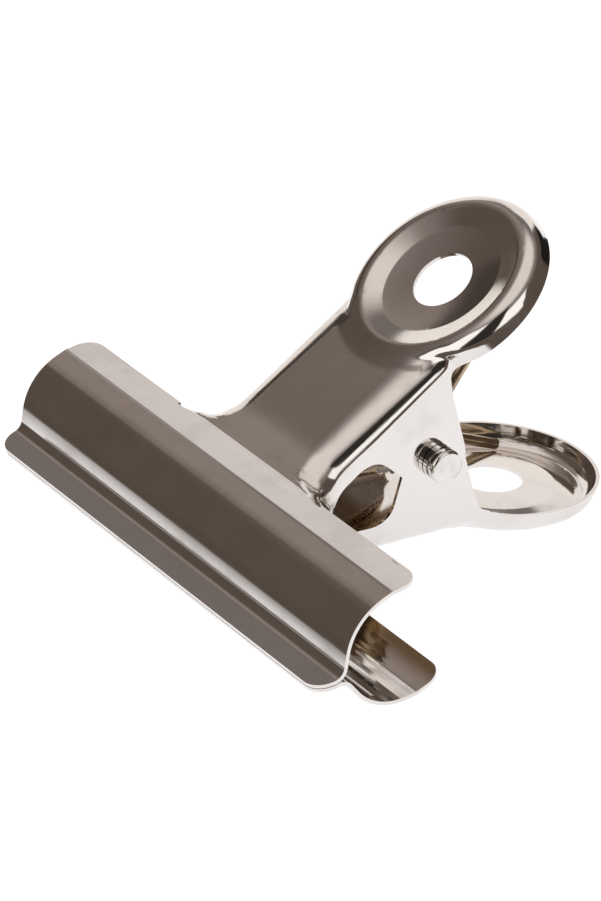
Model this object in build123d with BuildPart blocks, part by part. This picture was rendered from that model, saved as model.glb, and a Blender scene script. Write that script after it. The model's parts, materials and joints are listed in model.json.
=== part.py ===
from build123d import *
from math import acos, asin, atan2, ceil, cos, degrees, hypot, pi, radians, sin, sqrt, tan
import os

os.makedirs("parts", exist_ok=True)

# Every piece is drawn in the clip's own frame: X along the jaws, Y from the lips back to the handles and
# Z up from the middle plane where the lips meet, with the pivot at the origin. That frame is then laid
# on the table, resting on the lower barrel and the lower finger disc.

# Sheet steel and gutter-shaped jaws, with radii at the middle of the sheet
sheet = 0.5
jaw_length = 76.0
lip_flat = 2.85
lip_gap = 0.1
root_radius = 1.75
root_turn = 67.0
wall_length = 1.7
barrel_radius = 7.7
past_crest = 10.5
crease_radius = 2.0
flange_width = 3.2
flange_reach = 19.85
lip_corner = 3.0
flange_corner = 2.6

# Levers, measured on the outside of the sheet
arm_half_width = 10.85
arm_tilt = 19.3
fold_radius = 1.2
roll_setback = 0.16
roll_radius = 1.3
valley_radius = 1.2
roll_turn = 66.0
flare_radius = 5.0
flare_end = 0.6
flange_lap = 0.4
ear_gap = 0.1
ear_radius = 4.3
window_slope = 58.0
window_radius = 4.0
strip_depth = 3.1
strip_reach = 17.0
strip_corner = 2.0
ear_root_radius = 1.0

# Finger discs, measured on the outside of the sheet
disc_reach = 13.0
disc_radius = 13.65
disc_edge_radius = 2.0
shoulder_width = 2.65
bead_height = 0.8
bead_slope = 17.0
bead_foot_radius = 0.8
bead_crest_radius = 1.6
bead_blend = 0.5
rim_depth = 2.3
hole_radius = 4.2
web_radius = 3.0
web_overlap = 0.05

# Pivot pin
pin_radius = 1.6
pin_clearance = 0.05
head_radius = 2.3
head_gap = 0.1
collar_width = 0.75
groove_width = 0.3
groove_depth = 0.35
cap_width = 1.2
cap_edge = 0.45
cap_back_edge = 0.15

# Torsion spring
wire_radius = 0.75
coil_clearance = 0.4
coil_turns = 7
coil_end_gap = 0.4
leg_seat_gap = 0.15

# Heights of the gutter's line above the middle plane and places along Y
lip_height = (lip_gap + sheet) / 2
barrel_y = -flange_reach - flange_width - (barrel_radius + crease_radius) * sin(radians(past_crest))
wall_slope = radians(root_turn)
both_radii = root_radius + barrel_radius
root_start = barrel_y - both_radii * sin(wall_slope) - wall_length * cos(wall_slope)
lip_reach = lip_flat - root_start
barrel_z = lip_height + root_radius - both_radii * cos(wall_slope) + wall_length * sin(wall_slope)
flange_z = barrel_z + (barrel_radius + crease_radius) * cos(radians(past_crest)) - crease_radius
flange_top = flange_z + sheet / 2
barrel_outside = barrel_radius + sheet / 2

# The lever rolls down behind the flange into a valley and then runs up the arm
tilt = radians(arm_tilt)
turn = radians(roll_turn)
joggle_radius = roll_radius + valley_radius
roll_start = roll_setback - flange_reach
valley_end_y = roll_start + joggle_radius * sin(turn) + valley_radius * sin(tilt)
valley_end_z = flange_top - roll_radius + joggle_radius * cos(turn) - valley_radius * cos(tilt)
arm_height = valley_end_z - valley_end_y * tan(tilt)
lever_front = -flange_reach - fold_radius - flange_lap

# The bead rises from the disc's floor to its shoulder
bead_run = bead_height / tan(radians(bead_slope))
disc_floor_radius = disc_radius - shoulder_width - bead_run

# The clip rests on the lower barrel and on the edge of the lower disc
disc_y = disc_reach * cos(tilt)
disc_z = arm_height + disc_reach * sin(tilt)
edge_circle = disc_radius - disc_edge_radius
edge_y = disc_y + edge_circle * cos(tilt) - (bead_height - disc_edge_radius) * sin(tilt)
edge_z = disc_z + edge_circle * sin(tilt) + (bead_height - disc_edge_radius) * cos(tilt)
span_y = edge_y - barrel_y
span_z = edge_z - barrel_z
span = hypot(span_y, span_z)
rest_tilt = atan2(span_z, span_y) - asin((barrel_outside - disc_edge_radius) / span)
front = -lip_reach * cos(rest_tilt) - (lip_gap / 2 + sheet) * sin(rest_tilt)
rim_y = disc_y + disc_radius * cos(tilt) + rim_depth * sin(tilt)
rim_z = disc_z + disc_radius * sin(tilt) - rim_depth * cos(tilt)
rear = rim_y * cos(rest_tilt) + rim_z * sin(rest_tilt)
lowest = barrel_y * sin(rest_tilt) - barrel_z * cos(rest_tilt) - barrel_outside

middle = Plane(
    origin=(0, -(front + rear) / 2, -lowest),
    x_dir=(1, 0, 0),
    z_dir=(0, -sin(rest_tilt), cos(rest_tilt)),
)
side = Plane(origin=middle.origin, x_dir=middle.y_dir, z_dir=middle.x_dir)
arm = Plane(
    origin=middle.from_local_coords((0, 0, arm_height)),
    x_dir=middle.x_dir,
    z_dir=middle.y_dir * -sin(tilt) + middle.z_dir * cos(tilt),
)
disc_section = Plane(origin=arm.from_local_coords((0, disc_reach, 0)), x_dir=arm.x_dir, z_dir=-arm.y_dir)
lever_floor = -ear_radius - sheet
flare_line = -flange_reach * cos(tilt) - (arm_height - flange_top) * sin(tilt)
flare_spread = flare_radius + flare_end


def on_arm(y, depth):
    # A point of the side view that lies this far below the outside of the arm
    return (y, arm_height + y * tan(tilt) - depth / cos(tilt))


def lever_blank(half_width, inset):
    # The solid space under the lever's skin, set in from the outside of the sheet
    roll = roll_radius - inset
    valley = valley_radius + inset
    circle = disc_radius - inset
    with BuildPart() as blank:
        with BuildSketch(side):
            with BuildLine():
                flat = Line((lever_front, flange_top - inset), (roll_start, flange_top - inset))
                fall = JernArc(flat @ 1, flat % 1, roll, -roll_turn)
                rise = JernArc(fall @ 1, fall % 1, valley, roll_turn + arm_tilt)
                top = Line(rise @ 1, on_arm(disc_y + disc_radius, inset))
                Polyline(top @ 1, (disc_y + disc_radius, lever_floor), (lever_front, lever_floor), flat @ 0)
            make_face()
        extrude(amount=jaw_length, both=True)
        with BuildSketch(arm) as plan:
            with Locations((0, flare_line - inset)):
                Rectangle(2 * (half_width + flare_spread), lip_reach, align=(Align.CENTER, Align.MAX))
                Rectangle(2 * (half_width - inset), disc_reach - flare_line, align=(Align.CENTER, Align.MIN))
            with Locations((0, disc_reach)):
                Circle(circle - web_overlap)
            corners = plan.vertices().filter_by(lambda end: abs(abs(end.X) - half_width + inset) < 1e-4)
            fillet(corners.group_by(Axis.Y)[-1], radius=web_radius + inset)
            corners = plan.vertices().filter_by(lambda end: abs(abs(end.X) - half_width + inset) < 1e-4)
            fillet(corners.group_by(Axis.Y)[0], radius=flare_radius + inset)
        extrude(amount=2 * disc_radius, both=True, mode=Mode.INTERSECT)
        skin = blank.faces().filter_by(lambda face: face.normal_at().dot(arm.z_dir) > 0.5)
        walls = blank.faces().filter_by(lambda face: abs(face.normal_at().dot(arm.z_dir)) < 1e-4)
        flare_ends = blank.faces().filter_by(Axis.X).group_by(lambda face: abs(face.center().X))[-1]
        fold = skin.edges().filter_by(lambda edge: edge in walls.edges() and edge not in flare_ends.edges())
        fillet(fold, radius=fold_radius - inset)
        corner = inset * tan(radians(bead_slope) / 2)
        foot = (disc_floor_radius + corner, -inset)
        crest = (foot[0] + bead_run, bead_height - inset)
        with BuildSketch(disc_section):
            with BuildLine():
                bead = FilletPolyline(
                    (0, -inset), foot, crest, (circle, bead_height - inset), (circle, -disc_radius),
                    radius=[bead_foot_radius + inset, bead_crest_radius - inset, disc_edge_radius - inset],
                )
                Polyline(bead @ 1, (0, -disc_radius), bead @ 0)
            make_face()
        revolve(axis=Axis(disc_section.origin, arm.z_dir))
        on_skin = blank.edges().filter_by(GeomType.CIRCLE).filter_by(
            lambda edge: all(abs(arm.to_local_coords(edge @ end).Z + inset) < 1e-4 for end in (0, 0.5, 1))
        )
        bead_front = on_skin.sort_by(lambda edge: abs((edge @ 0.5).X))[0]
        fillet(bead_front, radius=bead_blend + inset)
    return blank.part


def lever_shell(half_width):
    # The lever as bent sheet, trimmed to its ears and to the rim of its disc
    lobe_angle = radians(180 + 90 - window_slope)
    lobe_front = (ear_radius * cos(lobe_angle), ear_radius * sin(lobe_angle))
    strip_slope = tan(tilt)
    edge_slope = -tan(radians(window_slope))
    strip_front = on_arm(-strip_reach, strip_depth)
    flare_front = (lever_front, flange_top - sheet - fold_radius)
    window_rise = lobe_front[1] - edge_slope * lobe_front[0] - on_arm(0, strip_depth)[1]
    window_y = window_rise / (strip_slope - edge_slope)
    rim_end = disc_y + 2 * disc_radius
    with BuildPart() as shell:
        add(lever_blank(half_width, 0))
        add(lever_blank(half_width, sheet), mode=Mode.SUBTRACT)
        with BuildSketch(side):
            with BuildLine():
                strip = FilletPolyline(
                    flare_front, strip_front, on_arm(window_y, strip_depth), lobe_front,
                    radius=[strip_corner, window_radius],
                )
                lobe = CenterArc((0, 0), ear_radius, degrees(lobe_angle), 360 - degrees(lobe_angle))
                ear_back = FilletPolyline(
                    lobe @ 1, on_arm(ear_radius, rim_depth), on_arm(rim_end, rim_depth),
                    radius=ear_root_radius,
                )
                Polyline(ear_back @ 1, (rim_end, rim_end), (lever_front, rim_end), strip @ 0)
            make_face()
        extrude(amount=jaw_length, both=True, mode=Mode.INTERSECT)
    return shell.part


def jaw(half_width):
    # One stamping: gutter, flange, lever with two ears, and finger disc
    with BuildPart() as stamping:
        with BuildSketch(side):
            with BuildLine():
                lip = Line((-lip_reach, lip_height), (root_start, lip_height))
                root = JernArc(lip @ 1, lip % 1, root_radius, root_turn)
                wall = PolarLine(root @ 1, wall_length, direction=root % 1)
                barrel = JernArc(wall @ 1, wall % 1, barrel_radius, -root_turn - past_crest)
                crease = JernArc(barrel @ 1, barrel % 1, crease_radius, past_crest)
                Line(crease @ 1, (-flange_reach, flange_z))
            trace(line_width=sheet)
        extrude(amount=jaw_length / 2, both=True)
        with BuildSketch(middle) as outline:
            with Locations((0, -(lip_reach + flange_reach) / 2)):
                Rectangle(jaw_length, lip_reach - flange_reach)
            fillet(outline.vertices().group_by(Axis.Y)[0], radius=lip_corner)
            fillet(outline.vertices().group_by(Axis.Y)[-1], radius=flange_corner)
            with Locations((0, lever_front)):
                Rectangle(
                    2 * (half_width + flare_spread), lip_reach,
                    align=(Align.CENTER, Align.MIN), mode=Mode.SUBTRACT,
                )
        extrude(amount=2 * barrel_radius, mode=Mode.INTERSECT)
        add(lever_shell(half_width))
        with BuildSketch(arm):
            with Locations((0, disc_reach)):
                Circle(hole_radius)
        extrude(amount=rim_depth, both=True, mode=Mode.SUBTRACT)
        with BuildSketch(side):
            Circle(pin_radius + pin_clearance)
        extrude(amount=disc_radius, both=True, mode=Mode.SUBTRACT)
    return stamping.part


with BuildPart() as upper_jaw:
    add(jaw(arm_half_width))
upper_jaw.part.label = "upper_jaw"
export_step(upper_jaw.part, "parts/upper_jaw.step")

# The lower lever is narrower, so that its ears turn inside the upper ones
inner_half_width = arm_half_width - sheet - ear_gap
with BuildPart() as lower_jaw:
    add(jaw(inner_half_width))
    mirror(about=middle, mode=Mode.REPLACE)
lower_jaw.part.label = "lower_jaw"
export_step(lower_jaw.part, "parts/lower_jaw.step")

# The pin has a grooved head at each end, close against the upper ears
head_inside = arm_half_width + head_gap
groove_inside = head_inside + collar_width
groove_outside = groove_inside + groove_width
pin_end = groove_outside + cap_width
groove_radius = head_radius - groove_depth
with BuildPart() as pivot_pin:
    with BuildSketch(Plane(origin=middle.origin, x_dir=middle.x_dir, z_dir=-middle.y_dir)):
        with BuildLine():
            cap = FilletPolyline(
                (groove_outside, groove_radius), (groove_outside, head_radius),
                (pin_end, head_radius), (pin_end, 0),
                radius=[cap_back_edge, cap_edge],
            )
            Polyline(
                cap @ 1, (0, 0), (0, pin_radius), (head_inside, pin_radius), (head_inside, head_radius),
                (groove_inside, head_radius), (groove_inside, groove_radius), cap @ 0,
            )
        make_face()
    revolve(axis=Axis(middle.origin, middle.x_dir))
    mirror(about=side)
pivot_pin.part.label = "pivot_pin"
export_step(pivot_pin.part, "parts/pivot_pin.step")

# One wire: a leg under the upper disc, the coil round the pin, and a leg under the lower disc
coil_radius = pin_radius + coil_clearance + wire_radius
coil_half_length = inner_half_width - sheet - coil_end_gap - wire_radius
crest_circle = disc_radius - shoulder_width
seat_reach = disc_reach + sqrt(crest_circle**2 - coil_half_length**2)
seat_depth = sheet - bead_height + leg_seat_gap + wire_radius
seat_y = seat_reach * cos(tilt) + seat_depth * sin(tilt)
seat_z = arm_height + seat_reach * sin(tilt) - seat_depth * cos(tilt)
seat_distance = hypot(seat_y, seat_z)
leg_angle = atan2(seat_z, seat_y) + acos(coil_radius / seat_distance)
coil_angle = 2 * (pi - leg_angle) + 2 * pi * coil_turns
half_turns = 2 * coil_turns + 1


def coil_point(part_way):
    angle = leg_angle + coil_angle * part_way
    x = coil_half_length * (1 - 2 * part_way)
    return middle.from_local_coords(Vector(x, coil_radius * cos(angle), coil_radius * sin(angle)))


def coil_direction(part_way):
    # The wire climbs along the pin between its ends, where it runs square into the legs
    angle = leg_angle + coil_angle * part_way
    climb = 2 * coil_half_length if 0 < part_way < 1 else 0
    along = middle.x_dir * -climb
    round_pin = middle.z_dir * cos(angle) - middle.y_dir * sin(angle)
    return (along + round_pin * (coil_radius * coil_angle)).normalized()


def biarc_joint(start, start_direction, end, end_direction):
    # The point where two arcs of equal tangent length meet
    chord = end - start
    both = start_direction + end_direction
    bend = 2 * (1 - start_direction.dot(end_direction))
    across = chord.dot(both)
    reach = (sqrt(across**2 + bend * chord.dot(chord)) - across) / bend
    return (start + end + (start_direction - end_direction) * reach) * 0.5


with BuildPart() as torsion_spring:
    with BuildLine() as wire:
        Line(middle.from_local_coords((coil_half_length, seat_y, seat_z)), coil_point(0))
        for index in range(half_turns):
            first = index / half_turns
            last = (index + 1) / half_turns
            start, end = coil_point(first), coil_point(last)
            ahead, back = coil_direction(first), -coil_direction(last)
            joint = biarc_joint(start, ahead, end, -back)
            TangentArc(start, joint, tangent=ahead)
            TangentArc(end, joint, tangent=back)
        Line(coil_point(1), middle.from_local_coords((-coil_half_length, seat_y, -seat_z)))
    with BuildSketch(Plane(wire.line @ 0, z_dir=wire.line % 0)):
        Circle(wire_radius)
    sweep(path=wire.line)
torsion_spring.part.label = "torsion_spring"
export_step(torsion_spring.part, "parts/torsion_spring.step")

# The least gap between turns, from points spaced along the wire and more than half a turn apart
path = wire.wire()
gap_steps = 40 * half_turns
points = [path.position_at(step / gap_steps) for step in range(gap_steps + 1)]
apart = ceil(pi * coil_radius * gap_steps / path.length)
nearest = min(
    (points[later] - points[earlier]).length
    for earlier in range(gap_steps)
    for later in range(earlier + apart, min(earlier + 4 * apart, gap_steps + 1))
)
print("least gap of the spring to itself:", round(nearest - 2 * wire_radius, 3), "mm")
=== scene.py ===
import bmesh
import bpy
import json
import numpy as np
from math import radians
from mathutils import Matrix, Vector


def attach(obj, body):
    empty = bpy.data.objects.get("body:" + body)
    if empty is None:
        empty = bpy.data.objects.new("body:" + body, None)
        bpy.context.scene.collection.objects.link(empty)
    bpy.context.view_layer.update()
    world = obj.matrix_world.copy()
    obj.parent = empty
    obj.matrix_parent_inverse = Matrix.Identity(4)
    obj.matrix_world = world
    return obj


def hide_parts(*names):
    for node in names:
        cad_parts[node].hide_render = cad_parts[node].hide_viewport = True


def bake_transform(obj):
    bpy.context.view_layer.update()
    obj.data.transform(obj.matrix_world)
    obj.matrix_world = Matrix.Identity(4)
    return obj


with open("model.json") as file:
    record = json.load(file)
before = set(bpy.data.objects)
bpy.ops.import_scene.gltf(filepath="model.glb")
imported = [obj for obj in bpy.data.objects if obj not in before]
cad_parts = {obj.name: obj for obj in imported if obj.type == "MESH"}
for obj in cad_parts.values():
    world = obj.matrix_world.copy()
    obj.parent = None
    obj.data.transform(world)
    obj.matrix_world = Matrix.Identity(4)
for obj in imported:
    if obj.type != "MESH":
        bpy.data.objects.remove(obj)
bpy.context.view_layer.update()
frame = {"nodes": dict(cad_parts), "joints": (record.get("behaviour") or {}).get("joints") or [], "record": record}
mounts = {mount["name"]: mount for mount in frame["record"]["mounts"]}
hinge = frame["joints"][0]["pos_m"]
print("frame loaded:", sorted(frame["nodes"]))


# camera at the photograph's place

cameraSetup = {
    "azimuth": 56.339,       # degrees round the clip, 0 looks along +Y
    "elevation": 27.772,     # degrees above the table
    "roll": 0.894,
    "distance": 0.6927,
    "target": (-0.00500, -0.00726, 0.01157),
    "lens": 216.97,          # mm
    "sensor": 36.0,          # mm along the long side of the picture
    "clip": (0.01, 50.0),
}


def addCamera(setup):
    tilt = Matrix.Rotation(radians(90 - setup["elevation"]), 4, "X")
    roll = Matrix.Rotation(radians(setup["roll"]), 4, "Z")
    turned = Matrix.Rotation(radians(setup["azimuth"]), 4, "Z") @ tilt @ roll
    camera = bpy.data.objects.new("photoCamera", bpy.data.cameras.new("photoCamera"))
    camera.data.lens = setup["lens"]
    camera.data.sensor_width = setup["sensor"]
    camera.data.clip_start, camera.data.clip_end = setup["clip"]
    place = Vector(setup["target"]) + turned.to_3x3() @ Vector((0.0, 0.0, setup["distance"]))
    camera.matrix_world = Matrix.Translation(place) @ turned
    bpy.context.scene.collection.objects.link(camera)
    bpy.context.scene.camera = camera


addCamera(cameraSetup)
print("camera set")


# small helpers for node trees

def mathNode(tree, operation, *values):
    node = tree.nodes.new("ShaderNodeMath")
    node.operation = operation
    for socket, value in zip(node.inputs, values):
        if isinstance(value, (int, float)):
            socket.default_value = value
        else:
            tree.links.new(value, socket)
    return node.outputs[0]


def rampNode(tree, value, fromLow, fromHigh, toLow=0.0, toHigh=1.0, smooth=True):
    node = tree.nodes.new("ShaderNodeMapRange")
    node.interpolation_type = "SMOOTHSTEP" if smooth else "LINEAR"
    limits = {"From Min": fromLow, "From Max": fromHigh, "To Min": toLow, "To Max": toHigh}
    for name, limit in limits.items():
        if isinstance(limit, (int, float)):
            node.inputs[name].default_value = limit
        else:
            tree.links.new(limit, node.inputs[name])
    tree.links.new(value, node.inputs["Value"])
    return node.outputs["Result"]


def mixColour(tree, share, first, second):
    node = tree.nodes.new("ShaderNodeMix")
    node.data_type = "RGBA"
    for socket, value in ((node.inputs[0], share), (node.inputs[6], first), (node.inputs[7], second)):
        if isinstance(value, tuple):
            socket.default_value = (*value, 1.0)
        else:
            tree.links.new(value, socket)
    return node.outputs[2]


# studio: soft panels and black flags round a dim warm room, over a white table

room = {"colour": (0.112, 0.088, 0.073), "seen": (1.0, 1.0, 1.0)}
panels = {
    # edges in degrees (lon 0 is +Y, 90 is +X) with their soft widths
    # a later panel hangs in front of the earlier ones
    "haze": {"lon": (-180, 180), "lat": (34, 90), "soft": (0, 24), "colour": (0.31, 0.268, 0.25)},
    "wall": {"lon": (-110, -20), "lat": (12, 64), "soft": (13, 14), "colour": (0.29, 0.243, 0.218)},
    "gap": {"lon": (-86, -20), "lat": (30, 62), "soft": (7, 5), "colour": (0.195, 0.17, 0.16)},
    "ceiling": {"lon": (-180, 180), "lat": (51, 90), "soft": (0, 17), "colour": (0.83, 0.78, 0.74)},
    "edgeFlag": {"lon": (-109, -92), "lat": (21, 37.5), "soft": (3, 4), "colour": (0.06, 0.048, 0.04)},
    "left": {"lon": (-94, -26), "lat": (-30, 37), "soft": (4, 7), "colour": (0.98, 0.94, 0.90)},
    "upperLeft": {"lon": (-72, -26), "lat": (20, 46), "soft": (4, 4), "colour": (0.74, 0.70, 0.685)},
    "bright": {"lon": (-63, -26), "lat": (20, 44), "soft": (4, 4), "colour": (0.95, 0.91, 0.89)},
    "right": {"lon": (55, 99), "lat": (2, 46), "soft": (4, 8), "colour": (1.2, 1.19, 1.18)},
    "front": {"lon": (138, 183), "lat": (-8, 53), "soft": (6, 6), "colour": (1.2, 1.19, 1.18)},
    "sideFlag": {"lon": (97, 138), "lat": (-20, 59), "soft": (5, 8), "colour": (0.03, 0.027, 0.025)},
    "backFlag": {"lon": (-32, 6), "lat": (-20, 26), "soft": (6, 8), "colour": (0.015, 0.013, 0.012)},
}


def panelMask(tree, lon, lat, panel):
    lonLow, lonHigh = (radians(edge) for edge in panel["lon"])
    latLow, latHigh = (radians(edge) for edge in panel["lat"])
    softLon, softLat = (radians(width) for width in panel["soft"])
    mask = rampNode(tree, lat, latLow, latLow + softLat)
    if panel["lat"][1] < 90:
        mask = mathNode(tree, "MULTIPLY", mask, rampNode(tree, lat, latHigh, latHigh - softLat))
    if softLon:
        half = (lonHigh - lonLow) / 2
        away = mathNode(tree, "SUBTRACT", lon, lonLow + half)
        away = mathNode(tree, "ABSOLUTE", mathNode(tree, "WRAP", away, radians(180), radians(-180)))
        mask = mathNode(tree, "MULTIPLY", mask, rampNode(tree, away, half, half - softLon))
    return mask


def buildWorld():
    world = bpy.data.worlds.new("studio")
    bpy.context.scene.world = world
    world.use_nodes = True
    tree = world.node_tree
    tree.nodes.clear()
    coords = tree.nodes.new("ShaderNodeTexCoord")
    split = tree.nodes.new("ShaderNodeSeparateXYZ")
    tree.links.new(coords.outputs["Generated"], split.inputs[0])
    lon = mathNode(tree, "ARCTAN2", split.outputs["X"], split.outputs["Y"])
    lat = mathNode(tree, "ARCSINE", split.outputs["Z"])
    seen = room["colour"]
    for panel in panels.values():
        seen = mixColour(tree, panelMask(tree, lon, lat, panel), seen, panel["colour"])
    path = tree.nodes.new("ShaderNodeLightPath")
    seen = mixColour(tree, path.outputs["Is Camera Ray"], seen, room["seen"])
    background = tree.nodes.new("ShaderNodeBackground")
    tree.links.new(seen, background.inputs["Color"])
    output = tree.nodes.new("ShaderNodeOutputWorld")
    tree.links.new(background.outputs[0], output.inputs["Surface"])


tableSetup = {
    "size": 12.0,
    "roughness": 0.9,
    "drop": 0.00002,          # under the clip's lowest point
    "paper": (0.85, 0.85, 0.85),
    "mirrored": (0.774, 0.795, 0.8245),   # the paper as the metal shows it
    "glow": 0.85,
    "frontEdge": -0.0445,     # the white paper ends here, in front of the lips
    "rightEdge": 0.085,       # and here, beside the ears
    "edgeSoft": 0.005,
    "beyond": (0.062, 0.047, 0.037),   # what mirrors see past that edge
}


def buildTable(setup):
    bpy.ops.object.select_all(action="DESELECT")
    bpy.ops.mesh.primitive_plane_add(size=setup["size"], location=(0.0, 0.0, 0.0))
    table = bpy.context.object
    table.name = "table"
    table.data.transform(Matrix.Translation((0.0, 0.0, -setup["drop"])))
    paper = bpy.data.materials.new("whitePaper")
    paper.use_nodes = True
    tree = paper.node_tree
    shader = tree.nodes["Principled BSDF"]
    shader.inputs["Roughness"].default_value = setup["roughness"]
    coords = tree.nodes.new("ShaderNodeTexCoord")
    split = tree.nodes.new("ShaderNodeSeparateXYZ")
    tree.links.new(coords.outputs["Object"], split.inputs[0])
    front, right, soft = setup["frontEdge"], setup["rightEdge"], setup["edgeSoft"]
    lit = rampNode(tree, split.outputs["Y"], front - soft, front + soft)
    lit = mathNode(tree, "MULTIPLY", lit, rampNode(tree, split.outputs["X"], right + soft, right - soft))
    path = tree.nodes.new("ShaderNodeLightPath")
    mirrored = mathNode(tree, "ADD", path.outputs["Is Glossy Ray"], path.outputs["Is Transmission Ray"])
    past = mathNode(tree, "MULTIPLY", mirrored, mathNode(tree, "SUBTRACT", 1.0, lit))
    colour = mixColour(tree, mirrored, setup["paper"], setup["mirrored"])
    colour = mixColour(tree, past, colour, setup["beyond"])
    tree.links.new(colour, shader.inputs["Base Color"])
    tree.links.new(colour, shader.inputs["Emission Color"])
    seen = mathNode(tree, "ADD", path.outputs["Is Camera Ray"], mirrored)
    tree.links.new(mathNode(tree, "MULTIPLY", seen, setup["glow"]), shader.inputs["Emission Strength"])
    table.data.materials.append(paper)


buildWorld()
buildTable(tableSetup)
print("studio built")


# finishes

def newGroup(name, inputs, outputs):
    group = bpy.data.node_groups.new(name, "ShaderNodeTree")
    for socketName, kind in inputs:
        group.interface.new_socket(name=socketName, in_out="INPUT", socket_type=kind)
    for socketName, kind in outputs:
        group.interface.new_socket(name=socketName, in_out="OUTPUT", socket_type=kind)
    return group, group.nodes.new("NodeGroupInput"), group.nodes.new("NodeGroupOutput")


def noiseNode(tree, vector, scale, detail=2.0, roughness=0.5):
    noise = tree.nodes.new("ShaderNodeTexNoise")
    noise.inputs["Detail"].default_value = detail
    noise.inputs["Roughness"].default_value = roughness
    tree.links.new(vector, noise.inputs["Vector"])
    if isinstance(scale, (int, float)):
        noise.inputs["Scale"].default_value = scale
    else:
        tree.links.new(scale, noise.inputs["Scale"])
    return noise.outputs["Fac"]


cloudSetup = {"detail": 5.0, "roughness": 0.6, "dullFrom": 0.42, "dullTo": 0.70}
grainSetup = {"lineDetail": 3.0, "peelDetail": 1.0}


def buildHandlingGroup(setup):
    # cloudy traces of handling: a rougher, slightly duller patch here and there
    inputs = [("Vector", "NodeSocketVector"), ("Scale", "NodeSocketFloat"),
              ("Clean Roughness", "NodeSocketFloat"), ("Dull Roughness", "NodeSocketFloat")]
    outputs = [("Roughness", "NodeSocketFloat"), ("Dullness", "NodeSocketFloat")]
    group, given, out = newGroup("handlingTraces", inputs, outputs)
    cloud = noiseNode(group, given.outputs["Vector"], given.outputs["Scale"],
                      setup["detail"], setup["roughness"])
    dull = rampNode(group, cloud, setup["dullFrom"], setup["dullTo"])
    clean, worn = given.outputs["Clean Roughness"], given.outputs["Dull Roughness"]
    group.links.new(rampNode(group, dull, 0.0, 1.0, clean, worn, smooth=False), out.inputs["Roughness"])
    group.links.new(dull, out.inputs["Dullness"])
    return group


def buildGrainGroup(setup):
    # fine grain of the metal under its plating: lines one way, and a faint orange peel
    inputs = [("Vector", "NodeSocketVector"), ("Line Scale", "NodeSocketVector"),
              ("Line Height", "NodeSocketFloat"),
              ("Peel Scale", "NodeSocketFloat"), ("Peel Height", "NodeSocketFloat")]
    group, given, out = newGroup("metalGrain", inputs, [("Height", "NodeSocketFloat")])
    stretch = group.nodes.new("ShaderNodeVectorMath")
    stretch.operation = "MULTIPLY"
    group.links.new(given.outputs["Vector"], stretch.inputs[0])
    group.links.new(given.outputs["Line Scale"], stretch.inputs[1])
    lines = noiseNode(group, stretch.outputs[0], 1.0, setup["lineDetail"])
    peel = noiseNode(group, given.outputs["Vector"], given.outputs["Peel Scale"], setup["peelDetail"])
    height = mathNode(group, "ADD", mathNode(group, "MULTIPLY", lines, given.outputs["Line Height"]),
                      mathNode(group, "MULTIPLY", peel, given.outputs["Peel Height"]))
    group.links.new(height, out.inputs["Height"])
    return group


handlingTraces = buildHandlingGroup(cloudSetup)
metalGrain = buildGrainGroup(grainSetup)

nickelPlate = {
    "name": "nickelPlate",
    "bright": (0.800, 0.760, 0.728),
    "dull": (0.735, 0.690, 0.650),
    "traceScale": 130.0,
    "roughness": (0.075, 0.13),
    "lineScale": (90.0, 2600.0, 2600.0),   # rolling lines run along the jaws
    "lineHeight": 4e-7,
    "peelScale": 1500.0,
    "peelHeight": 1e-6,
    "paintedShade": (0.36, 0.26, 0.155),         # painted shade: dark brown inside the barrel between the ears
}
pinSteel = {
    "name": "pinSteel",
    "bright": (0.79, 0.76, 0.73),
    "dull": (0.70, 0.665, 0.63),
    "traceScale": 320.0,
    "roughness": (0.07, 0.14),
    "lineScale": (9000.0, 500.0, 500.0),   # turning marks run round the pin
    "lineHeight": 5e-7,
    "peelScale": 1800.0,
    "peelHeight": 6e-7,
}
springWire = {
    "name": "springWire",
    "bright": (0.56, 0.44, 0.30),
    "dull": (0.34, 0.255, 0.17),
    "traceScale": 260.0,
    "roughness": (0.16, 0.30),
    "lineScale": (3200.0, 700.0, 700.0),   # drawing lines
    "lineHeight": 1e-6,
    "peelScale": 2200.0,
    "peelHeight": 6e-7,
}


def metalFinish(finish):
    metal = bpy.data.materials.new(finish["name"])
    metal.use_nodes = True
    tree = metal.node_tree
    shader = tree.nodes["Principled BSDF"]
    shader.inputs["Metallic"].default_value = 1.0
    coords = tree.nodes.new("ShaderNodeTexCoord").outputs["Object"]

    traces = tree.nodes.new("ShaderNodeGroup")
    traces.node_tree = handlingTraces
    traces.inputs["Scale"].default_value = finish["traceScale"]
    traces.inputs["Clean Roughness"].default_value = finish["roughness"][0]
    traces.inputs["Dull Roughness"].default_value = finish["roughness"][1]
    tree.links.new(coords, traces.inputs["Vector"])
    tree.links.new(traces.outputs["Roughness"], shader.inputs["Roughness"])
    colour = mixColour(tree, traces.outputs["Dullness"], finish["bright"], finish["dull"])
    # painted shade: faces marked inside the barrel between the ears turn dark brown
    if "paintedShade" in finish:
        paintedShade = tree.nodes.new("ShaderNodeAttribute")
        paintedShade.attribute_name = "paintedShade"
        colour = mixColour(tree, paintedShade.outputs["Fac"], colour, finish["paintedShade"])
    tree.links.new(colour, shader.inputs["Base Color"])

    grain = tree.nodes.new("ShaderNodeGroup")
    grain.node_tree = metalGrain
    grain.inputs["Line Scale"].default_value = finish["lineScale"]
    grain.inputs["Line Height"].default_value = finish["lineHeight"]
    grain.inputs["Peel Scale"].default_value = finish["peelScale"]
    grain.inputs["Peel Height"].default_value = finish["peelHeight"]
    tree.links.new(coords, grain.inputs["Vector"])
    bump = tree.nodes.new("ShaderNodeBump")
    bump.inputs["Strength"].default_value = 1.0
    bump.inputs["Distance"].default_value = 1.0
    tree.links.new(grain.outputs["Height"], bump.inputs["Height"])
    tree.links.new(bump.outputs["Normal"], shader.inputs["Normal"])
    return metal


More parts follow.
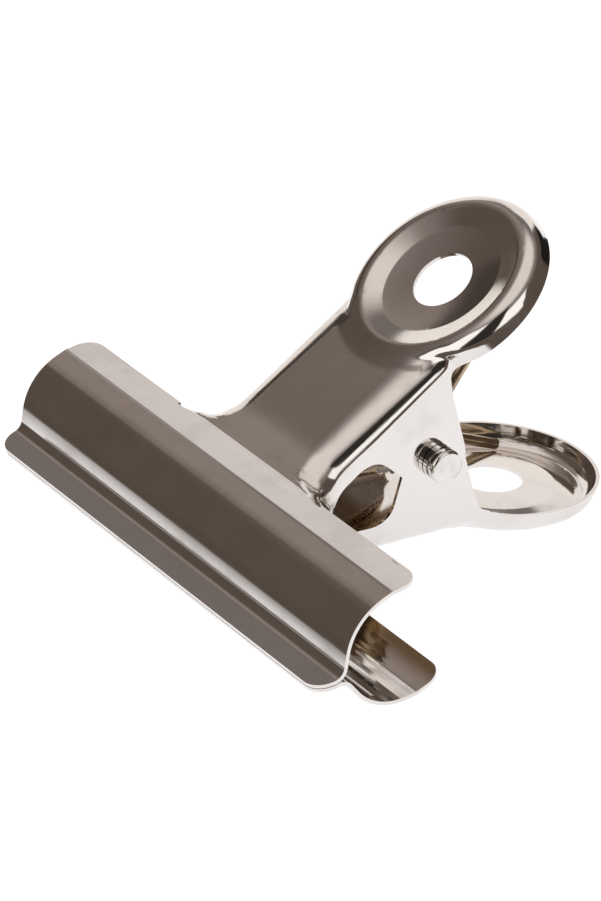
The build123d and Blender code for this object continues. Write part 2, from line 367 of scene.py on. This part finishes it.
finishes = {finish["name"]: metalFinish(finish) for finish in (nickelPlate, pinSteel, springWire)}
print("finishes made:", sorted(finishes))


# pieces: smooth copies of the frame's solids, the jaws with the soft pressed shape of thin sheet

smoothing = {"merge": 1e-7, "angle": 25, "weight": 50}   # metres, degrees, and the share of the larger faces


def mergedCopy(name):
    bpy.ops.object.select_all(action="DESELECT")
    piece = bpy.data.objects.new(name + "_smooth", frame["nodes"][name].data.copy())
    bpy.context.scene.collection.objects.link(piece)
    bpy.context.view_layer.objects.active = piece
    piece.select_set(True)
    bpy.ops.object.mode_set(mode="EDIT")
    bpy.ops.mesh.select_all(action="SELECT")
    bpy.ops.mesh.remove_doubles(threshold=smoothing["merge"])
    bpy.ops.object.mode_set(mode="OBJECT")
    bpy.ops.mesh.customdata_custom_splitnormals_clear()
    return piece


def finishCopy(piece, node, finish):
    bpy.context.view_layer.objects.active = piece
    bpy.ops.object.shade_smooth_by_angle(angle=radians(smoothing["angle"]))
    even = piece.modifiers.new("even", "WEIGHTED_NORMAL")
    even.keep_sharp = True
    even.weight = smoothing["weight"]
    bpy.ops.object.modifier_apply(modifier="even")
    piece.data.materials.clear()
    piece.data.materials.append(finishes[finish])
    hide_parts(node)


jawShape = {
    # metres: y runs back from the hinge and z outwards
    # s runs back along the lever from the disc's centre, h stands on the flat lever
    # r is the distance from the disc's axis, and x from the clip's middle
    "sheet": 0.0005,
    # the mesh, cut across from, to and every so far, then refined
    "cuts": ((-0.02875, -0.0170, 0.00025), (-0.02462, -0.0236, 0.00025), (-0.02012, -0.0189, 0.00025)),
    "cutNear": 2e-6,           # a corner this close to a cut lies on it
    "mergeNear": 4e-6,
    "halvings": 8,
    "finest": 0.00078,         # longest edge left where the lever is pressed
    "coarse": 0.0014,          # and on the rest of it
    "leverFront": -0.0216,
    # the solid's barrel, the crease behind it and the flat flange
    "barrelCentre": (-0.02482, -0.0000776),
    "barrelRadius": 0.00795,
    "creaseFront": -0.02337,
    "creaseCentre": (-0.02305, 0.00946),
    "creaseRadius": 0.00175,
    "flangeTop": 0.00771,
    "flangeRear": -0.01985,
    # pressed, the barrel turns to a gentle slope, steps up a little and carries a leaning flange
    "section": ((-0.0270, 0.007568), (-0.0262, 0.007766), (-0.0254, 0.007904),
                (-0.0246, 0.007982), (-0.02425, 0.008030), (-0.0240, 0.00804),
                (-0.0213, 0.00770), (-0.01985, 0.007445), (-0.0190, 0.007330)),
    "sectionLead": 0.002,      # the section is drawn from this far in front of its first point
    "sectionTail": 0.001,      # to this far behind its last, and it holds from this far before the first
    "sectionStep": 0.00002,
    "sectionSoft": 0.00020,    # its corners are rounded over this width
    "sectionTaps": 30,         # steps to each side
    "sectionNear": 0.0001,     # vertices this close to the solid's skin lie on it
    "sectionFloor": 0.004,     # only sheet over this height follows the section
    "leanFrom": -0.0213,
    "leanEase": 0.000077,      # the flange's ends lean less than its middle
    "leanSides": (0.011, 0.015),
    # the solid's joggle: roll, then valley, then the flat lever, for the outer and the inner skin
    "rollCentre": (-0.01969, 0.00641),
    "rollRadius": (0.0013, 0.0008),
    "valleyCentre": (-0.017406, 0.0074268),
    "valleyRadius": (0.0012, 0.0017),
    "leverLine": (0.012251, 0.3502),    # height at the hinge, and slope
    "leverSheet": 0.00053,
    # pressed, the lever fills that joggle with a gentle run-up and stands higher in its middle
    "rootSlope": 0.14,
    "rootStart": (-0.01955, 0.00743),
    "rootSoft": 0.00012,
    "rootRun": 0.0035,
    "rootFade": 0.0027,
    "leverRaise": 0.00115,     # at this distance from the disc
    "leverRaiseAt": -0.030,
    "leverRaiseRun": -0.037,   # less of it for each metre nearer to the disc
    "leverFrom": -0.0065,      # it starts here, in front of the disc's centre
    "leverFade": 0.0030,       # and is all there after this
    # its folds are wide, where the solid's are tight; right, then left
    "foldRadius": 0.0012,
    "foldDrop": (0.00197, 0.00110),     # they end this far under the solid's flat lever
    "foldReach": (0.00565, 0.00440),
    "foldRaiseShare": 1.114,   # a higher middle leaves them less reach
    "flareStart": -0.0282,
    "flareRadius": 0.005,
    "flareMost": 0.98,         # of that radius
    "hub": 0.003,              # round the pin the ears show the lever's width
    "earTop": 0.0012,          # the ears take up the new height from here
    "earRun": 0.0050,          # over this depth
    # the bead's front slopes down to the lever between these radii
    "beadHeight": 0.0008,
    "beadSlope": (0.0115, 0.0148),
    "beadFade": (0.0065, 0.0100),
    "beadDepth": 0.0011,
    "edgeRadius": 0.0020,
    # the disc's floor sags round its hole, and its skirt opens towards the rim
    "floorRadius": 0.00838,
    "floorDish": 0.00042,
    "floorSkins": (-0.0006, 0.0001),
    "skirtInside": 0.01165,
    "skirtDepth": 0.0031,
    "skirtFlare": 0.00045,
    "skirtFree": (-0.0085, -0.0040),
    # painted shade inside the barrel between the ears: where it starts, where it ends, its half width and how
    # sharp its edge is
    "shadeFront": (-0.0235, -0.0205),
    "shadeRear": (-0.0075, -0.0035),
    "shadeSide": 0.0140,
    "shadeEdge": 4.0,
}


def smoothStep(value):
    value = np.clip(value, 0.0, 1.0)
    return value * value * (3.0 - 2.0 * value)


def easeIn(value, limits):
    return smoothStep((value - limits[0]) / (limits[1] - limits[0]))


def quarterRound(run):
    return 1.0 - np.sqrt(1.0 - run ** 2)


def readVectors(items, name):
    values = np.empty(len(items) * 3)
    items.foreach_get(name, values)
    return values.reshape(-1, 3)


def jawAxes(side, discHole):
    rear = -np.array(mounts["jaw_lips"]["axis"])
    outward = np.array(mounts[discHole]["axis"])
    return {"rear": rear, "up": np.array((0.0, -rear[2], rear[1])) * side, "outward": outward,
            "along": np.array((0.0, abs(outward[2]), -outward[1] * np.sign(outward[2]))),
            "disc": np.array(mounts[discHole]["pos_m"])}


def jawPlaces(points, axes, shape):
    places = {"side": points[:, 0], "x": np.abs(points[:, 0])}
    places["y"] = (points - hinge) @ axes["rear"]
    places["z"] = (points - hinge) @ axes["up"]
    places["s"] = (points - axes["disc"]) @ axes["along"]
    places["h"] = (points - axes["disc"]) @ axes["outward"] - shape["sheet"] / 2
    places["r"] = np.hypot(places["x"], places["s"])
    return places


def refineJaw(piece, axes, shape):
    rear, along, outward, disc = (Vector(axes[name]) for name in ("rear", "along", "outward", "disc"))
    start = Vector(hinge)
    earEnd = shape["earTop"] + shape["earRun"]

    def longest(edge):
        middle = (edge.verts[0].co + edge.verts[1].co) / 2 - disc
        pressed = middle.dot(along) < shape["leverFrom"] and middle.dot(outward) > -earEnd
        return shape["finest"] if pressed else shape["coarse"]

    mesh = bmesh.new()
    mesh.from_mesh(piece.data)
    for first, last, step in shape["cuts"]:
        for place in np.arange(first, last, step):
            parts = mesh.verts[:] + mesh.edges[:] + mesh.faces[:]
            bmesh.ops.bisect_plane(mesh, geom=parts, dist=shape["cutNear"],
                                   plane_co=start + rear * float(place), plane_no=rear)
    bmesh.ops.remove_doubles(mesh, verts=mesh.verts[:], dist=shape["mergeNear"])
    bmesh.ops.triangulate(mesh, faces=[face for face in mesh.faces if len(face.verts) > 3])
    for halving in range(shape["halvings"]):
        tooLong = [edge for edge in mesh.edges
                   if edge.calc_length() > longest(edge)
                   and min((corner.co - start).dot(rear) for corner in edge.verts) > shape["leverFront"]]
        if not tooLong:
            break
        bmesh.ops.subdivide_edges(mesh, edges=tooLong, cuts=1)
        bmesh.ops.triangulate(mesh, faces=[face for face in mesh.faces if len(face.verts) > 3])
    mesh.to_mesh(piece.data)
    mesh.free()
    piece.data.validate()


# painted shade: marks faces that look down or inwards inside the barrel, between the ears, to be coloured darker
def markPaintedShade(piece, axes, shape):
    normals = readVectors(piece.data.polygons, "normal")
    centres = readVectors(piece.data.polygons, "center")
    x, y = centres[:, 0], (centres - hinge) @ axes["rear"]
    inwards = np.where(np.abs(x) < shape["shadeSide"], -normals[:, 0] * np.sign(x), 0.0)
    facing = np.maximum(-(normals @ axes["up"]), inwards)
    inside = smoothStep(shape["shadeEdge"] * facing) * easeIn(y, shape["shadeFront"])
    inside *= 1.0 - easeIn(y, shape["shadeRear"])
    layer = piece.data.attributes.new("paintedShade", "FLOAT", "FACE")
    layer.data.foreach_set("value", inside)


def arcHeight(y, centre, radius, sign):
    return centre[1] + sign * np.sqrt(np.maximum(radius ** 2 - (y - centre[0]) ** 2, 0.0))


def solidTop(y, shape):
    barrel = arcHeight(y, shape["barrelCentre"], shape["barrelRadius"], 1.0)
    crease = arcHeight(y, shape["creaseCentre"], shape["creaseRadius"], -1.0)
    behind = np.where(y < shape["creaseCentre"][0], crease, shape["flangeTop"])
    return np.where(y < shape["creaseFront"], barrel, behind)


def pressedTop(y, shape):
    places, heights = (np.array(column) for column in zip(*shape["section"]))
    step, taps = shape["sectionStep"], shape["sectionTaps"]
    fine = np.arange(places[0] - shape["sectionLead"], places[-1] + shape["sectionTail"], step)
    drawn = np.where(fine < places[0], solidTop(fine, shape), np.interp(fine, places, heights))
    blur = np.exp(-(np.arange(-taps, taps + 1) * step / shape["sectionSoft"]) ** 2 / 2)
    smooth = np.convolve(np.pad(drawn, taps, mode="edge"), blur / blur.sum(), mode="valid")
    return np.where(y < places[0] - shape["sectionTail"], solidTop(y, shape), np.interp(y, fine, smooth))


def solidLever(y, shape, skin):
    roll, valley = shape["rollRadius"][skin], shape["valleyRadius"][skin]
    rollAt, valleyAt = shape["rollCentre"][0], shape["valleyCentre"][0]
    height, slope = shape["leverLine"]
    turn = rollAt + (valleyAt - rollAt) * roll / (roll + valley)
    foot = valleyAt + valley * slope / np.hypot(1.0, slope)
    lever = arcHeight(y, shape["valleyCentre"], valley, -1.0)
    lever = np.where(y < turn, arcHeight(y, shape["rollCentre"], roll, 1.0), lever)
    lever = np.where(y < rollAt, shape["flangeTop"] - shape["sheet"] * skin, lever)
    return np.where(y > foot, height + slope * y - shape["leverSheet"] * skin, lever)


def leverRaise(s, shape):
    return shape["leverRaise"] + shape["leverRaiseRun"] * (s - shape["leverRaiseAt"])


def pressedLever(y, s, shape):
    height, slope = shape["leverLine"]
    lever = height + slope * y + leverRaise(s, shape) * np.hypot(1.0, slope)
    root = shape["rootStart"][1] + shape["rootSlope"] * (y - shape["rootStart"][0])
    soft = shape["rootSoft"]
    lever = root + soft * np.logaddexp(0.0, (lever - root) / soft)
    return np.where(y < shape["rootStart"][0], pressedTop(y, shape), lever)


def flangeEnds(x, shape):
    return shape["leanEase"] * easeIn(x, shape["leanSides"])


def flangeShift(at, shape):
    y, z = at["y"], at["z"]
    solid = solidTop(y, shape)
    onSkin = (np.abs(z - solid) < shape["sectionNear"]) & (y > shape["cuts"][0][0])
    shift = pressedTop(y, shape) - np.where(onSkin, z, solid)
    lean = np.clip((y - shape["leanFrom"]) / (shape["flangeRear"] - shape["leanFrom"]), 0.0, 1.0)
    shift += lean * flangeEnds(at["x"], shape)
    return np.where((y < shape["flangeRear"]) & (z > shape["sectionFloor"]), shift, 0.0)


def onLever(at, shape):
    return (at["s"] < 0.0) & (at["h"] > -shape["earTop"] - shape["earRun"]) & (at["y"] >= shape["flangeRear"])


def downBead(at, shape):
    top, foot = shape["beadSlope"]
    return np.clip((at["r"] - top) / (foot - top), 0.0, 1.0)


def leverShift(at, shape):
    x, y, z, s = at["x"], at["y"], at["z"], at["s"]
    # the solid's half width and tight fold, and the wide fold in its place
    flare, fold = shape["flareRadius"], shape["foldRadius"]
    atHub = (np.abs(y) < shape["hub"]) & (np.abs(z) < shape["hub"])
    opening = np.clip(shape["flareStart"] - s, 0.0, shape["flareMost"] * flare)
    halfWidth = x[atHub].max() + flare - np.sqrt(flare ** 2 - opening ** 2)
    tight = fold * quarterRound(np.clip((x - halfWidth + fold) / fold, 0.0, 1.0))
    raised = leverRaise(s, shape)
    drop = np.where(at["side"] > 0, *shape["foldDrop"])
    reach = np.where(at["side"] > 0, *shape["foldReach"]) - shape["foldRaiseShare"] * raised
    wide = (raised + drop) * quarterRound(np.clip((x - halfWidth + reach) / reach, 0.0, 1.0))
    # the raised middle, which leaves the root's corners to the flange
    outerTop, innerTop = (solidLever(y, shape, skin) for skin in (0, 1))
    inner = (z < (outerTop + innerTop) / 2 - tight) & (x < halfWidth - shape["sheet"] / 2)
    middle = pressedLever(y, s, shape) - np.where(inner, innerTop + shape["leverSheet"], outerTop)
    behind = y - shape["flangeRear"]
    fromRoot = smoothStep(behind / shape["rootRun"])
    corner = pressedTop(np.array(shape["flangeRear"]), shape) - shape["flangeTop"] + flangeEnds(x, shape)
    corner *= 1.0 - smoothStep(behind / shape["rootFade"])
    middle += (corner - middle) * smoothStep((x - halfWidth + reach) / (reach - fold)) * (1.0 - fromRoot)
    # both fade down the ears and towards the disc
    downEars = smoothStep((at["h"] + shape["earTop"] + shape["earRun"]) / shape["earRun"])
    keep = np.where(onLever(at, shape), downEars, 0.0) * smoothStep(downBead(at, shape))
    keep *= smoothStep((shape["leverFrom"] - s) / shape["leverFade"])
    return middle * keep, (tight - wide) * fromRoot * keep


def beadShift(at, shape):
    edge, height = shape["edgeRadius"], shape["beadHeight"]
    top, foot = shape["beadSlope"]
    run = np.clip(at["r"] - shape["skirtInside"], 0.0, edge)
    skin = np.maximum(height - edge + np.sqrt(edge ** 2 - run ** 2), 0.0)
    slope = height + (leverRaise(at["s"], shape) - height) * downBead(at, shape)
    slope -= np.where(at["h"] > skin - shape["sheet"] / 2, 0.0, shape["sheet"])
    front = onLever(at, shape) & (at["r"] > top) & (at["r"] < foot) & (at["h"] > -shape["beadDepth"])
    share = np.where(front, 1.0 - easeIn(at["x"], shape["beadFade"]), 0.0)
    return share, slope - at["h"]


def floorSag(at, shape):
    lowest, highest = shape["floorSkins"]
    sag = shape["floorDish"] * np.maximum(1.0 - (at["r"] / shape["floorRadius"]) ** 2, 0.0)
    return np.where((at["h"] > lowest) & (at["h"] < highest), sag, 0.0)


def skirtOpening(at, shape):
    r = at["r"]
    depth = np.clip((shape["beadHeight"] - at["h"]) / shape["skirtDepth"], 0.0, 1.0)
    opened = shape["skirtFlare"] * depth ** 2 * easeIn(at["s"], shape["skirtFree"])
    opened = np.where(r > shape["skirtInside"], opened, 0.0)
    return np.divide(opened, r, out=np.zeros_like(r), where=r > 0)


def pressJaw(piece, axes, shape):
    points = readVectors(piece.data.vertices, "co")
    at = jawPlaces(points, axes, shape)
    raiseUp, pushOut = leverShift(at, shape)
    beadShare, beadPush = beadShift(at, shape)
    raiseUp = raiseUp * (1.0 - beadShare) + flangeShift(at, shape)
    pushOut += beadShare * (beadPush - pushOut) - floorSag(at, shape)
    opening = skirtOpening(at, shape)
    shift = np.outer(pushOut, axes["outward"]) + np.outer(raiseUp, axes["up"])
    shift += np.outer(at["s"] * opening, axes["along"])
    shift[:, 0] += points[:, 0] * opening
    piece.data.vertices.foreach_set("co", (points + shift).ravel())
    piece.data.update()


def makeJaw(node, body, side, discHole):
    piece = mergedCopy(node)
    axes = jawAxes(side, discHole)
    refineJaw(piece, axes, jawShape)
    markPaintedShade(piece, axes, jawShape)
    pressJaw(piece, axes, jawShape)
    finishCopy(piece, node, "nickelPlate")
    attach(piece, body)
    print(node, "pressed:", len(piece.data.polygons), "faces")


makeJaw("upper_jaw", "upper_lever", 1.0, "upper_disc_hole")
makeJaw("lower_jaw", "lower_lever", -1.0, "lower_disc_hole")

pin = mergedCopy("pivot_pin")
finishCopy(pin, "pivot_pin", "pinSteel")
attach(pin, "upper_lever")

spring = mergedCopy("torsion_spring")
finishCopy(spring, "torsion_spring", "springWire")
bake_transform(spring)
print("pin and spring made")


bpy.context.scene.view_settings.view_transform = "Standard"
